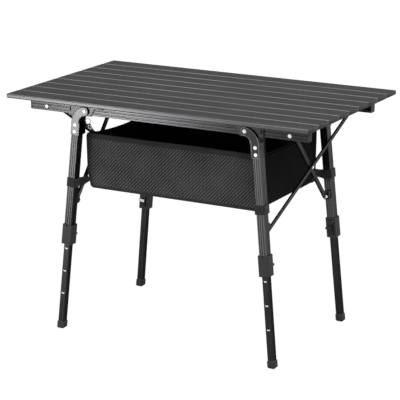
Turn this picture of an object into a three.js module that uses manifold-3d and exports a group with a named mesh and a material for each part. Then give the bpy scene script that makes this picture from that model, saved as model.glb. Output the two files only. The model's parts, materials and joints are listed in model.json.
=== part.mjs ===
// Folding camp kitchen table: a roll-up slatted top on two long rails, four telescopic
// legs that fold inboard on curved hinge brackets, an X-brace at each end and a hanging
// fabric basket between the legs.
// Millimetres, +Z up. Origin on the floor under the middle of the top, +X to the right
// along the length, +Y to the back.
import * as THREE from "three";
import { mergeVertices } from "three/addons/utils/BufferGeometryUtils.js";
import Module from "manifold-3d";

const wasm = await Module();
wasm.setup();

// ---------- shared dimensions ----------
// Each section below adds the sizes that only it uses. Y values named OUTER, INNER, OUT
// or IN are distances from the middle plane, mirrored to the front and the back.
const GAP = 0.3; // running gap between neighbouring pieces

const TOP_HEIGHT = 666;
const SLAT_THICK = 12;

const RAIL_OUTER_Y = 208.5;
const RAIL_INNER_Y = 186.5;
const RAIL_BOTTOM = 615.4;
const RAIL_TOP = TOP_HEIGHT - SLAT_THICK - GAP;
const RAIL_HALF_LENGTH = 415.6;

const PIVOT_X = 242; // leg hinge axis, along Y
const PIVOT_Z = 627;
const PIVOT_R = 3;
const PIVOT_DRILL_Y = [176, 220]; // spans the rail, the saddle and both bracket cheeks

const SLOT_X = [287, 290.4]; // upright slot through rail and saddle
const SLOT_Z = [623.5, 635.5];

const LEG_FOOT_X = 329.4; // leg axis at floor level
const LEG_FOOT_Y = 214.2;
const LEG_LEAN = 0.0963; // shift of the axis towards the middle in X, mm per mm of height
const LEG_SPLAY = 0.024; // the same in Y
const LEAN_ANGLE = Math.atan(LEG_LEAN);
const LEG_W = 23; // across X
const LEG_D = 25.6; // across Y
const LEG_BOTTOM = 252; // lower end of the upper tube
const LOWER_SQ = 18.4;
const BORE_HALF = LOWER_SQ / 2 + GAP;

const CHEEK_OUT = 213.9; // inside face of the hinge bracket's outer cheek
const CHEEK_IN = 183.6; // outside face of its inner cheek
const NECK_T = 2; // sheet thickness of the bracket

const BRACE_LOW_X = 293.5; // lower hinge line on the legs, along Y
const BRACE_LOW_Z = 368;
const BRACE_TAB_Y = 179;

// ---------- finishes ----------
const ALU = { color: 0x3b3b3d, roughness: 0.42, metalness: 0.75 };
const ALU_DARK = { color: 0x2c2c2e, roughness: 0.48, metalness: 0.7 };
const PLASTIC = { color: 0x1c1c1e, roughness: 0.62, metalness: 0 };
const STEEL = { color: 0xd6d6d4, roughness: 0.25, metalness: 1 };
const FABRIC = { color: 0x151516, roughness: 0.92, metalness: 0 };

// ---------- solid helpers ----------
const toSolid = (geometry) => {
  const bare = geometry.clone();
  bare.deleteAttribute("normal");
  bare.deleteAttribute("uv");
  const merged = mergeVertices(bare, 1e-4);
  return new wasm.Manifold(
    new wasm.Mesh({
      numProp: 3,
      vertProperties: merged.attributes.position.array,
      triVerts: new Uint32Array(merged.index.array),
    }),
  );
};
const toGeometry = (solid) => {
  const mesh = solid.getMesh();
  const geometry = new THREE.BufferGeometry();
  geometry.setAttribute("position", new THREE.BufferAttribute(mesh.vertProperties, 3));
  geometry.setIndex(new THREE.BufferAttribute(mesh.triVerts, 1));
  const flat = geometry.toNonIndexed();
  flat.computeVertexNormals();
  return flat;
};
const join = (...parts) => toGeometry(parts.map(toSolid).reduce((a, b) => a.add(b)));
const cut = (body, ...tools) =>
  toGeometry(tools.map(toSolid).reduce((a, b) => a.subtract(b), toSolid(body)));
const common = (a, b) => toGeometry(toSolid(a).intersect(toSolid(b)));

// ---------- outline helpers ----------
// Moves a coordinate a few microns off line, so that no three outline points are exactly
// collinear. The count runs on through the whole build.
let nudgeCount = 0;
const nudge = (v) => v + 0.012 * Math.sin(++nudgeCount * 2.399963);

const sorted = (a, b) => [Math.min(a, b), Math.max(a, b)];
const mirrored = (points, side) => points.map(([x, y]) => [side * x, y]);
const shifted = (points, dx, dy) => points.map(([x, y]) => [dx + x, dy + y]);
const vectors = (points) => points.map(([x, y]) => new THREE.Vector2(x, y));

const outline = (points, ...holes) => {
  const shape = new THREE.Shape(vectors(points));
  for (const hole of holes) {
    const loose = hole.map(([x, y]) => [nudge(x), nudge(y)]);
    shape.holes.push(new THREE.Path(vectors(loose)));
  }
  return shape;
};
const rect = (xa, xb, y0, y1) => {
  const [x0, x1] = sorted(xa, xb);
  return [[x0, y0], [x1, y0], [x1, y1], [x0, y1]];
};
const centredRect = (halfX, halfY) => rect(-halfX, halfX, -halfY, halfY);
// rectangle about the origin, each corner an arc of the given number of steps
const rounded = (width, height, radius, steps) => {
  const points = [];
  const x = width / 2 - radius;
  const y = height / 2 - radius;
  for (const [centreX, centreY, startDeg] of [
    [x, y, 0],
    [-x, y, 90],
    [-x, -y, 180],
    [x, -y, 270],
  ])
    for (let i = 0; i <= steps; i++) {
      const angle = ((startDeg + (90 * i) / steps) * Math.PI) / 180;
      points.push([centreX + radius * Math.cos(angle), centreY + radius * Math.sin(angle)]);
    }
  return points;
};

// ---------- shape helpers ----------
const extrude = (shape, depth) =>
  new THREE.ExtrudeGeometry(shape, { depth, bevelEnabled: false, curveSegments: 6 });
// outline in (X, Y), extruded up Z
const alongZ = (shape, z0, z1) => extrude(shape, z1 - z0).translate(0, 0, z0);
// outline in (X, Z), extruded along Y; the ends may come in either order
const alongY = (shape, ya, yb) => {
  const [y0, y1] = sorted(ya, yb);
  return extrude(shape, y1 - y0).rotateX(Math.PI / 2).translate(0, y1, 0);
};
// outline in (Y, Z), extruded along X; the ends may come in either order
const TURN = new THREE.Matrix4().makeBasis(
  new THREE.Vector3(0, 1, 0),
  new THREE.Vector3(0, 0, 1),
  new THREE.Vector3(1, 0, 0),
);
const alongX = (shape, xa, xb) => {
  const [x0, x1] = sorted(xa, xb);
  return extrude(shape, x1 - x0).applyMatrix4(TURN).translate(x0, 0, 0);
};
const block = (xa, xb, ya, yb, za, zb) =>
  new THREE.BoxGeometry(Math.abs(xb - xa), Math.abs(yb - ya), Math.abs(zb - za)).translate(
    (xa + xb) / 2,
    (ya + yb) / 2,
    (za + zb) / 2,
  );
// (radius, Y) profile turned about Y
const turned = (profile, sides) => new THREE.LatheGeometry(vectors(profile), sides);
// tool for the hinge pivot hole of one corner
const pivotDrill = (sideX, sideY) => {
  const [y0, y1] = PIVOT_DRILL_Y;
  return new THREE.CylinderGeometry(PIVOT_R + GAP, PIVOT_R + GAP, y1 - y0, 20).translate(
    sideX * PIVOT_X,
    (sideY * (y0 + y1)) / 2,
    PIVOT_Z,
  );
};

// ---------- assembly helpers ----------
const table = new THREE.Group();
const add = (parent, name, geometry, finish) => {
  const mesh = new THREE.Mesh(geometry, new THREE.MeshStandardMaterial(finish));
  mesh.name = name;
  parent.add(mesh);
  return mesh;
};

const SIDES = [-1, 1];
const X_NAME = { "-1": "left", 1: "right" };
const Y_NAME = { "-1": "front", 1: "back" };
const CORNERS = SIDES.flatMap((sideX) =>
  SIDES.map((sideY) => ({ sideX, sideY, tag: `${X_NAME[sideX]}_${Y_NAME[sideY]}` })),
);

// ---------- roll-up top: hollow slats running along X ----------
const TOP_LENGTH = 900;
const SLATS = 9;
const SLAT_PITCH = 61.6;
const SLAT_WIDTH = 59.4;
const SLAT_WALL = 1.2; // top and bottom
const SLAT_SIDE_WALL = 2.2;
const SLAT_RIB_HALF = 0.6;
const SLAT_EDGE_R = 3;

// three chambers side by side, parted by two ribs
const slatOutline = () => {
  const halfW = SLAT_WIDTH / 2 - SLAT_SIDE_WALL;
  const halfH = SLAT_THICK / 2 - SLAT_WALL;
  const rib = halfW / 3;
  return outline(
    rounded(SLAT_WIDTH, SLAT_THICK, SLAT_EDGE_R, 3),
    rect(-halfW, -rib - SLAT_RIB_HALF, -halfH, halfH),
    rect(-rib + SLAT_RIB_HALF, rib - SLAT_RIB_HALF, -halfH, halfH),
    rect(rib + SLAT_RIB_HALF, halfW, -halfH, halfH),
  );
};
const addSlat = (i) => {
  const geometry = alongX(slatOutline(), -TOP_LENGTH / 2, TOP_LENGTH / 2);
  const slat = add(table, `slat_${i + 1}`, geometry, ALU);
  slat.position.set(0, (i - (SLATS - 1) / 2) * SLAT_PITCH, TOP_HEIGHT - SLAT_THICK / 2);
};

// ---------- side rails and their end caps ----------
const RAIL_WALL = 1.8;
const RAIL_CHAMFER = 1.2;
const GROOVE_DEPTH = 1.1;
const TRACK_HALF = 6.2; // half height of the opening in the inner face
const TRACK_LIP = 1.6; // thickness of the inner face
const RAIL_CAP_THICK = 2.6;
const RAIL_CAP_EXTRA = 0.8; // cap width beyond the rail's

// Hollow section with two grooves in the outer face, open along the inner face.
const railOutline = (sideY) => {
  const outer = RAIL_OUTER_Y;
  const inner = RAIL_INNER_Y;
  const bottom = RAIL_BOTTOM;
  const top = RAIL_TOP;
  const groove = outer - GROOVE_DEPTH;
  const lip = inner + TRACK_LIP;
  const wallY = outer - RAIL_WALL - 1.3;
  const ceiling = top - RAIL_WALL - 1;
  // (distance outward in Y, Z)
  const points = [
    [inner, bottom],
    [outer - RAIL_CHAMFER, bottom],
    [outer, bottom + RAIL_CHAMFER],
    [outer, bottom + 5.2],
    [groove, bottom + 6.2],
    [groove, bottom + 8.6],
    [outer, bottom + 9.6],
    [outer, bottom + 14.2],
    [groove, bottom + 15.2],
    [groove, bottom + 17.4],
    [outer, bottom + 18.4],
    [outer, top - RAIL_CHAMFER],
    [outer - RAIL_CHAMFER, top],
    [inner, top],
    [inner, PIVOT_Z + TRACK_HALF],
    [lip, PIVOT_Z + TRACK_HALF],
    [lip, ceiling],
    [wallY, ceiling],
    [wallY, bottom + RAIL_WALL],
    [lip, bottom + RAIL_WALL],
    [lip, PIVOT_Z - TRACK_HALF],
    [inner, PIVOT_Z - TRACK_HALF],
  ];
  return outline(points.map(([y, z]) => [sideY * nudge(y), nudge(z)]));
};
const addRail = (sideY) => {
  const body = alongX(railOutline(sideY), -RAIL_HALF_LENGTH, RAIL_HALF_LENGTH);
  const slotY = [sideY * (RAIL_OUTER_Y - 8), sideY * (RAIL_OUTER_Y + 4)];
  const tools = SIDES.flatMap((sideX) => [
    pivotDrill(sideX, sideY),
    block(...SLOT_X.map((x) => sideX * x), ...slotY, ...SLOT_Z),
  ]);
  add(table, `${Y_NAME[sideY]}_rail`, cut(body, ...tools), ALU);
};
const addRailCap = ({ sideX, sideY, tag }) => {
  const width = RAIL_OUTER_Y - RAIL_INNER_Y + RAIL_CAP_EXTRA;
  const face = shifted(
    rounded(width, RAIL_TOP - RAIL_BOTTOM, 2, 3),
    (sideY * (RAIL_OUTER_Y + RAIL_INNER_Y)) / 2,
    (RAIL_TOP + RAIL_BOTTOM) / 2,
  );
  const start = RAIL_HALF_LENGTH + GAP;
  const cap = alongX(outline(face), sideX * start, sideX * (start + RAIL_CAP_THICK));
  add(table, `rail_cap_${tag}`, cap, PLASTIC);
};

// ---------- hinge saddles ----------
const SADDLE_T = 2.2;
const SADDLE_X0 = 226;
const SADDLE_X1 = 294;
const SADDLE_TOP = 638.8; // top of the outer face
const SADDLE_INNER_TOP = 619.8; // top of the inner face
const SADDLE_FLOOR = RAIL_BOTTOM - GAP; // upper face of the web under the rail
const SADDLE_BOTTOM = SADDLE_FLOOR - SADDLE_T;
const TONGUE_BOTTOM = 599;
const TONGUE_TOP = SADDLE_FLOOR - 0.4; // inside the web, so that the two fuse
const TONGUE_X = [284, 287];

// outer face, in (distance outboard, Z), with a point reaching inboard
const SADDLE_FACE = [
  [184, 636.2],
  [213, 635.4],
  [SADDLE_X0, SADDLE_BOTTOM],
  [SADDLE_X1, SADDLE_BOTTOM],
  [SADDLE_X1, SADDLE_TOP - 3],
  [SADDLE_X1 - 3, SADDLE_TOP],
  [212, SADDLE_TOP],
];
// tongue, in (distance outward in Y, Z)
const TONGUE = [
  [187.5, TONGUE_TOP],
  [187.5, TONGUE_BOTTOM + 1],
  [188.5, TONGUE_BOTTOM],
  [202.5, TONGUE_BOTTOM],
  [205.3, TONGUE_BOTTOM + 0.8],
  [207, TONGUE_BOTTOM + 2.8],
  [207.5, TONGUE_BOTTOM + 5.5],
  [207.5, TONGUE_TOP],
];

// Channel clipped round the rail, with a stop tongue that the upright leg rests against.
const addSaddle = ({ sideX, sideY, tag }) => {
  const slot = rect(...SLOT_X.map((x) => sideX * x), ...SLOT_Z);
  const saddleX = [sideX * SADDLE_X0, sideX * SADDLE_X1];
  const outerY = sideY * (RAIL_OUTER_Y + GAP);
  const outerEndY = sideY * (RAIL_OUTER_Y + GAP + SADDLE_T);
  const innerY = sideY * (RAIL_INNER_Y - GAP);
  const innerEndY = sideY * (RAIL_INNER_Y - GAP - SADDLE_T);
  const innerFace = rect(...saddleX, SADDLE_BOTTOM, SADDLE_INNER_TOP);
  const saddle = join(
    alongY(outline(mirrored(SADDLE_FACE, sideX), slot), outerY, outerEndY),
    alongY(outline(innerFace), innerY, innerEndY),
    block(...saddleX, outerEndY, innerEndY, SADDLE_BOTTOM, SADDLE_FLOOR),
    alongX(outline(mirrored(TONGUE, sideY)), ...TONGUE_X.map((x) => sideX * x)),
  );
  add(table, `hinge_saddle_${tag}`, cut(saddle, pivotDrill(sideX, sideY)), ALU);
};

// ---------- pivot rivets, headed at both ends ----------
const PIVOT_HEAD_R = 5.6;
const PIVOT_HEAD_T = 1.7;

const addPivotRivet = ({ sideX, sideY, tag }) => {
  const start = CHEEK_IN - NECK_T - GAP - PIVOT_HEAD_T;
  const end = CHEEK_OUT + NECK_T + GAP + PIVOT_HEAD_T;
  // (radius, depth from the end of the rivet)
  const head = [
    [0, 0],
    [PIVOT_HEAD_R * 0.55, 0],
    [PIVOT_HEAD_R * 0.9, PIVOT_HEAD_T * 0.35],
    [PIVOT_HEAD_R, PIVOT_HEAD_T * 0.75],
    [PIVOT_HEAD_R, PIVOT_HEAD_T],
    [PIVOT_R, PIVOT_HEAD_T],
  ];
  const profile = [
    ...head.map(([r, depth]) => [r, start + depth]),
    ...head.map(([r, depth]) => [r, end - depth]).reverse(),
  ];
  const rivet = turned(profile, 20);
  if (sideY < 0) rivet.rotateX(Math.PI);
  add(table, `pivot_rivet_${tag}`, rivet.translate(sideX * PIVOT_X, 0, PIVOT_Z), STEEL);
};

// ---------- leg frame ----------
// distance along the leg axis for a height above the floor
const legZ = (height) => height * Math.hypot(1, LEG_LEAN, LEG_SPLAY);
// distance of the leg axis outboard, and outward in Y, at a height
const legAxisX = (height) => LEG_FOOT_X - LEG_LEAN * height;
const legAxisY = (height) => LEG_FOOT_Y - LEG_SPLAY * height;

// group with Z up the leg axis and X square to both Y and the axis
const addLegFrame = ({ sideX, sideY }) => {
  const z = new THREE.Vector3(-sideX * LEG_LEAN, -sideY * LEG_SPLAY, 1).normalize();
  const x = new THREE.Vector3(1, 0, sideX * LEG_LEAN).normalize();
  const y = new THREE.Vector3().crossVectors(z, x);
  const leg = new THREE.Group();
  leg.position.set(sideX * LEG_FOOT_X, sideY * LEG_FOOT_Y, 0);
  leg.quaternion.setFromRotationMatrix(new THREE.Matrix4().makeBasis(x, y, z));
  table.add(leg);
  return leg;
};

// ---------- upper leg tube ----------
const LEG_TOP = 611;
const LEG_CHAMFER = 1.8;
const FLUTE_DEPTH = 1.2;
const FLUTES = 3; // on each face
const FLUTE_MARGIN = 0.8; // from the chamfer to the first flute's share of the face
const FLUTE_SHARE = 0.22; // half width of a flute, as a share of the flute pitch

// Flutes of one face, from -half to +half; place() takes (position along, depth).
const fluteFace = (half, place) => {
  const start = -half + LEG_CHAMFER + FLUTE_MARGIN;
  const pitch = (2 * (half - LEG_CHAMFER - FLUTE_MARGIN)) / FLUTES;
  const points = [];
  for (let i = 0; i < FLUTES; i++) {
    const middle = start + pitch * (i + 0.5);
    const halfW = pitch * FLUTE_SHARE;
    points.push(
      [middle - halfW - 0.25, 0],
      [middle - halfW + 0.2, FLUTE_DEPTH],
      [middle + halfW - 0.2, FLUTE_DEPTH],
      [middle + halfW + 0.25, 0],
    );
  }
  return points.map(([along, depth]) => place(nudge(along), nudge(depth)));
};
// fluted on all four faces, with a square bore for the lower tube
const upperLegOutline = () => {
  const halfX = LEG_W / 2;
  const halfY = LEG_D / 2;
  const flatX = halfX - LEG_CHAMFER;
  const flatY = halfY - LEG_CHAMFER;
  return outline(
    [
      [-flatX, -halfY],
      ...fluteFace(halfX, (along, depth) => [along, -halfY + depth]),
      [flatX, -halfY],
      [halfX, -flatY],
      ...fluteFace(halfY, (along, depth) => [halfX - depth, along]),
      [halfX, flatY],
      [flatX, halfY],
      ...fluteFace(halfX, (along, depth) => [-along, halfY - depth]),
      [-flatX, halfY],
      [-halfX, flatY],
      ...fluteFace(halfY, (along, depth) => [-halfX + depth, -along]),
      [-halfX, -flatY],
    ],
    centredRect(BORE_HALF, BORE_HALF),
  );
};
const addUpperLeg = (leg, { tag }) => {
  const tube = alongZ(upperLegOutline(), legZ(LEG_BOTTOM), legZ(LEG_TOP));
  add(leg, `upper_leg_${tag}`, tube, ALU);
};

// ---------- lower leg tube ----------
const LOWER_WALL = 1.4;
const LOWER_TOP = 352;
const DETENT_Z = [105, 170, 235]; // height detents, on the face away from the middle
const DETENT_R = 2.6;
const FOOT_H = 22;

const addLowerLeg = (leg, { sideY, tag }) => {
  const boreHalf = LOWER_SQ / 2 - LOWER_WALL;
  const section = outline(rounded(LOWER_SQ, LOWER_SQ, 1.8, 2), centredRect(boreHalf, boreHalf));
  const tube = alongZ(section, legZ(FOOT_H) + 0.5, legZ(LOWER_TOP));
  const detents = DETENT_Z.map((z) =>
    new THREE.CylinderGeometry(DETENT_R, DETENT_R, 6, 14).translate(
      0,
      (sideY * LOWER_SQ) / 2,
      legZ(z),
    ),
  );
  add(leg, `lower_leg_${tag}`, cut(tube, ...detents), ALU_DARK);
};

// ---------- lock collar and lever ----------
const COLLAR_W = 29.6;
const COLLAR_D = 30.6;
const COLLAR_BOTTOM = 248;
const COLLAR_TOP = 304;
const LUG_T = 3;
const LEVER_W = 14;
const LEVER_T = 4.6;
const LEVER_PIVOT = 295.5; // heights of the lever's hinge and lower tip
const LEVER_TIP = 255;
const RIDGES = 4;
const RIDGE_PITCH = 6.4;

// Sleeve round the end of the upper tube, closing to the lower tube, with two lugs beside
// the lever and a notch in the top of the opposite face.
const addCollar = (leg, { sideY, tag }) => {
  const inward = -sideY;
  const ring = rounded(COLLAR_W, COLLAR_D, 2, 2);
  const sleeve = outline(ring, centredRect(LEG_W / 2 + GAP, LEG_D / 2 + GAP));
  const floor = outline(ring, centredRect(BORE_HALF + 0.1, BORE_HALF + 0.1));
  const lugX = LEVER_W / 2 + GAP;
  const lugs = SIDES.map((side) =>
    block(
      side * lugX,
      side * (lugX + LUG_T),
      inward * (COLLAR_D / 2 - 1),
      inward * (COLLAR_D / 2 + 4.4),
      legZ(LEVER_PIVOT) - 7,
      legZ(LEVER_PIVOT) + 5,
    ),
  );
  const notch = block(
    -3,
    3,
    sideY * (COLLAR_D / 2 - 3),
    sideY * (COLLAR_D / 2 + 1),
    legZ(COLLAR_TOP) - 5,
    legZ(COLLAR_TOP) + 1,
  );
  const body = join(
    alongZ(sleeve, legZ(COLLAR_BOTTOM) + 2, legZ(COLLAR_TOP)),
    alongZ(floor, legZ(COLLAR_BOTTOM), legZ(LEG_BOTTOM) - GAP),
    ...lugs,
  );
  add(leg, `lock_collar_${tag}`, cut(body, notch), PLASTIC);
};

// Lever on the collar's inward face: rounded at its hinge end, ridged on the thumb side.
const addLever = (leg, { sideY, tag }) => {
  const back = COLLAR_D / 2 + GAP;
  const front = back + LEVER_T;
  const radius = LEVER_T / 2;
  const tip = legZ(LEVER_TIP);
  const ridges = [];
  for (let i = 0; i < RIDGES; i++) {
    const z = tip + 4 + i * RIDGE_PITCH;
    ridges.push(
      [front - 1, z],
      [front + 0.4, z + 1.4],
      [front + 0.4, z + 3.2],
      [front - 1, z + 4.6],
    );
  }
  const hingeEnd = [];
  for (let i = 0; i <= 6; i++) {
    const angle = (Math.PI * i) / 6;
    hingeEnd.push([
      (back + front) / 2 + radius * Math.cos(angle),
      legZ(LEVER_PIVOT) + radius * Math.sin(angle),
    ]);
  }
  // (distance from the leg axis towards the middle, Z)
  const points = [
    [back + 1.6, tip],
    [front - 1, tip],
    ...ridges,
    [front, tip + 31],
    ...hingeEnd,
    [back, tip + 3],
  ];
  const lever = alongX(outline(mirrored(points, -sideY)), -LEVER_W / 2, LEVER_W / 2);
  add(leg, `lock_lever_${tag}`, lever, PLASTIC);
};

// ---------- feet ----------
const FOOT_SQ = 20.5;
const FOOT_CHAMFER = 3;
const FOOT_SHOULDER = FOOT_H - 2;
const SHOULDER_TILT = 0.9; // the outboard edge is this much higher, the inboard one lower
const TOP_TILT = 0.7;
const FOOT_TOP_INSET = 1.6;

// Chamfered block, flat on the floor although the leg leans.
const addFoot = ({ sideX, sideY, tag }) => {
  const half = FOOT_SQ / 2;
  const chamfer = FOOT_CHAMFER;
  const shoulder = FOOT_SHOULDER;
  const edgeX = (z, side) => sideX * legAxisX(z) + side * half;
  // seen along Y: (X, Z)
  const sideView = [
    [edgeX(0, -1) + chamfer, 0],
    [edgeX(0, 1) - chamfer, 0],
    [edgeX(chamfer, 1), chamfer],
    [edgeX(shoulder, 1), shoulder + sideX * SHOULDER_TILT],
    [edgeX(FOOT_H, 1) - FOOT_TOP_INSET, FOOT_H + sideX * TOP_TILT],
    [edgeX(FOOT_H, -1) + FOOT_TOP_INSET, FOOT_H - sideX * TOP_TILT],
    [edgeX(shoulder, -1), shoulder - sideX * SHOULDER_TILT],
    [edgeX(chamfer, -1), chamfer],
  ];
  // seen along X: (offset from the leg axis, Z), reaching past the side view in Z
  const endView = [
    [-half + chamfer, -1],
    [half - chamfer, -1],
    [half - chamfer, 0],
    [half, chamfer],
    [half, shoulder],
    [half - FOOT_TOP_INSET, FOOT_H + 4],
    [-half + FOOT_TOP_INSET, FOOT_H + 4],
    [-half, shoulder],
    [-half, chamfer],
    [-half + chamfer, 0],
  ].map(([y, z]) => [sideY * legAxisY(z) + y, z]);
  const foot = common(
    alongY(outline(sideView), sideY * LEG_FOOT_Y - 14, sideY * LEG_FOOT_Y + 14),
    alongX(outline(endView), sideX * 300, sideX * 345),
  );
  add(table, `foot_${tag}`, foot, PLASTIC);
};

// ---------- curved hinge brackets ----------
const NECK_R = 35.04; // centre-line radius
const NECK_HALF = 11.5; // half the width
const NECK_START_DEG = -8; // direction of the centre line at the hinge end
const NECK_BOTTOM = 559; // lower end, on the leg axis
const NECK_STEPS = 8;
const WEB_BOTTOM = NECK_BOTTOM - 1;
const WEB_TOP = 592;

// cheek outline in (distance outboard, Z)
const neckOutline = () => {
  // angles of the hinge and the lower end of the arc, as seen past the arc centre
  const start = THREE.MathUtils.degToRad(NECK_START_DEG) - Math.PI / 2;
  const end = -Math.PI + LEAN_ANGLE;
  const centreX = PIVOT_X + NECK_R * Math.cos(start);
  const centreZ = PIVOT_Z + NECK_R * Math.sin(start);
  const arc = (radius) =>
    Array.from({ length: NECK_STEPS + 1 }, (_, i) => {
      const angle = start + ((end - start) * i) / NECK_STEPS;
      return [centreX - radius * Math.cos(angle), centreZ - radius * Math.sin(angle)];
    });
  const lowerCorner = (side) => [
    legAxisX(NECK_BOTTOM) + side * NECK_HALF * Math.cos(LEAN_ANGLE),
    NECK_BOTTOM + side * NECK_HALF * Math.sin(LEAN_ANGLE),
  ];
  const roundEnd = [];
  for (let i = 1; i < 8; i++) {
    const angle = start - (Math.PI * i) / 8;
    roundEnd.push([
      PIVOT_X + NECK_HALF * Math.cos(angle),
      PIVOT_Z + NECK_HALF * Math.sin(angle),
    ]);
  }
  return [
    ...roundEnd,
    ...arc(NECK_R + NECK_HALF),
    lowerCorner(1),
    lowerCorner(-1),
    ...arc(NECK_R - NECK_HALF).reverse(),
  ];
};

// Outer and inner cheek joined by a web on the leg's inboard face; a flange strip carries
// each cheek across to the web.
const addHingeBracket = ({ sideX, sideY, tag }) => {
  const webFace = (z) => legAxisX(z) - (LEG_W / 2 + GAP) / Math.cos(LEAN_ANGLE);
  const web = [
    [webFace(NECK_BOTTOM) - NECK_T, WEB_BOTTOM],
    [webFace(NECK_BOTTOM), WEB_BOTTOM],
    [webFace(WEB_TOP), WEB_TOP],
    [webFace(WEB_TOP) - NECK_T, WEB_TOP],
  ];
  const flange = [
    [webFace(NECK_BOTTOM) - NECK_T, WEB_BOTTOM],
    [legAxisX(NECK_BOTTOM) - 2, WEB_BOTTOM + 0.2],
    [legAxisX(WEB_TOP) - 2, WEB_TOP],
    [webFace(WEB_TOP) - NECK_T, WEB_TOP],
  ];
  const plate = (points, y0, y1) =>
    alongY(outline(mirrored(points, sideX)), sideY * y0, sideY * y1);
  const onBothCheeks = (points) => [
    plate(points, CHEEK_OUT, CHEEK_OUT + NECK_T),
    plate(points, CHEEK_IN, CHEEK_IN - NECK_T),
  ];
  const body = join(
    ...onBothCheeks(neckOutline()),
    plate(web, CHEEK_IN - NECK_T, CHEEK_OUT + NECK_T),
    ...onBothCheeks(flange),
  );
  add(table, `leg_hinge_bracket_${tag}`, cut(body, pivotDrill(sideX, sideY)), ALU);
};

// ---------- brace brackets on the inner (Y) faces of the legs ----------
const addBraceBracket = ({ sideX, sideY, tag }) => {
  const face = shifted(rounded(15, 25, 4, 3), sideX * BRACE_LOW_X, BRACE_LOW_Z + 3);
  const legFaceY = legAxisY(BRACE_LOW_Z + 16) - LEG_D / 2;
  const bracket = alongY(
    outline(face),
    sideY * (legFaceY - GAP),
    sideY * (BRACE_TAB_Y + GAP),
  );
  add(table, `brace_bracket_${tag}`, bracket, PLASTIC);
};

// ---------- end X-braces ----------
const BRACE_TOP_X = 363.5; // upper end line at the rails
const BRACE_TOP_Z = 627;
const BRACE_W = 13.6;
const BRACE_T = 7;
const BRACE_END_Y = 175.2;
const BRACE_TAB_T = 2.5;
const BRACE_OFFSET = 3.8; // of each bar from the plane of the X
const RIVET_R = 2.3;

// normal of the plane of the X, pointing outboard
const braceNormal = (sideX) =>
  new THREE.Vector3(
    sideX * (BRACE_TOP_Z - BRACE_LOW_Z),
    0,
    BRACE_LOW_X - BRACE_TOP_X,
  ).normalize();
const turnYTo = (direction) =>
  new THREE.Quaternion().setFromUnitVectors(new THREE.Vector3(0, 1, 0), direction);

// The brace that starts low on the front leg lies outboard of the other.
const addBrace = (sideX, lowSideY) => {
  const normal = braceNormal(sideX);
  const offset = normal.clone().multiplyScalar(-lowSideY * BRACE_OFFSET);
  const low = new THREE.Vector3(sideX * BRACE_LOW_X, lowSideY * BRACE_END_Y, BRACE_LOW_Z);
  const top = new THREE.Vector3(sideX * BRACE_TOP_X, -lowSideY * BRACE_END_Y, BRACE_TOP_Z);
  low.add(offset);
  top.add(offset);
  const direction = top.clone().sub(low);
  const length = direction.length();
  direction.normalize();
  // bar frame: X across the width, Y through the thickness, Z along the length
  const across = new THREE.Vector3().crossVectors(direction, normal).normalize();
  const through = new THREE.Vector3().crossVectors(direction, across).normalize();
  const frame = new THREE.Matrix4().makeBasis(across, through, direction).setPosition(low);
  const section = outline(rounded(BRACE_W, BRACE_T, 3.2, 3));
  const tab = (x, z, sideY) =>
    alongY(
      outline(shifted(rounded(17, 17, 8, 4), sideX * x, z)),
      sideY * BRACE_TAB_Y,
      sideY * (BRACE_TAB_Y - BRACE_TAB_T),
    );
  const body = join(
    alongZ(section, 0, length).applyMatrix4(frame),
    tab(BRACE_LOW_X, BRACE_LOW_Z, lowSideY),
    tab(BRACE_TOP_X, BRACE_TOP_Z, -lowSideY),
  );
  const middle = low.clone().add(top).multiplyScalar(0.5);
  const drill = new THREE.CylinderGeometry(RIVET_R + GAP, RIVET_R + GAP, 30, 14)
    .applyQuaternion(turnYTo(normal))
    .translate(middle.x, middle.y, middle.z);
  const layer = lowSideY < 0 ? "outer" : "inner";
  add(table, `end_brace_${X_NAME[sideX]}_${layer}`, cut(body, drill), ALU_DARK);
};

// rivet through the crossing, headed at both ends
const addBraceRivet = (sideX) => {
  const grip = BRACE_OFFSET + BRACE_T / 2 + GAP; // half the length between the heads
  // (radius, distance from the middle)
  const halfProfile = [
    [RIVET_R, grip],
    [4.4, grip],
    [4.2, grip + 0.7],
    [2.6, grip + 1.4],
    [0, grip + 1.4],
  ];
  const lowerHalf = halfProfile.map(([r, y]) => [r, -y]).reverse();
  const rivet = turned([...lowerHalf, ...halfProfile], 16)
    .applyQuaternion(turnYTo(braceNormal(sideX)))
    .translate(
      (sideX * (BRACE_LOW_X + BRACE_TOP_X)) / 2,
      0,
      (BRACE_LOW_Z + BRACE_TOP_Z) / 2,
    );
  add(table, `brace_rivet_${X_NAME[sideX]}`, rivet, STEEL);
};

// ---------- hanging basket: fabric tub, open at the top ----------
const BASKET_TOP = { halfX: 264, halfY: 174, z: 558 };
const BASKET_BASE = { halfX: 260, halfY: 169, z: 405 };
const BASKET_WALL = 3;
const BASKET_CORNER_R = 14;

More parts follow.
